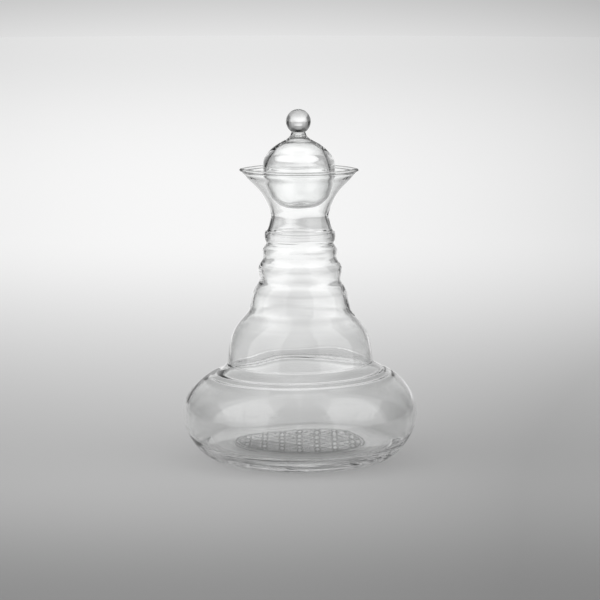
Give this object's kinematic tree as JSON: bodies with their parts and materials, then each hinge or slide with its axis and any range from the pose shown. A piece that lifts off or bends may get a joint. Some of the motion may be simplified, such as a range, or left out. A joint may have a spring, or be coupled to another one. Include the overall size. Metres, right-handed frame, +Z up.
{
  "type": "glass carafe",
  "caption": "Clear mouth-blown glass carafe with a squat bulb, a ringed bell neck and pouring lips, closed by a loose hollow globe stopper with a ball knob.",
  "frame": {"origin": "on the table, under the middle of the foot", "axes": "+Z up along the axis of the carafe, +X towards one of the pouring lips, +Y away from the pictured side"},
  "size_m": [0.175, 0.175, 0.2623],
  "materials": {
    "carafe_glass": "clear, fire polished",
    "stopper_glass": "clear, fire polished"
  },
  "bodies": {
    "carafe": {"carafe_body": "carafe_glass"},
    "stopper": {"stopper_globe": "stopper_glass", "stopper_knob": "stopper_glass"}
  },
  "joints": [
    {"name": "stopper_lift", "type": "slide", "parent": "carafe", "child": "stopper", "axis": [0, 0, 1], "range_m": [0, 0.08]}
  ]
}
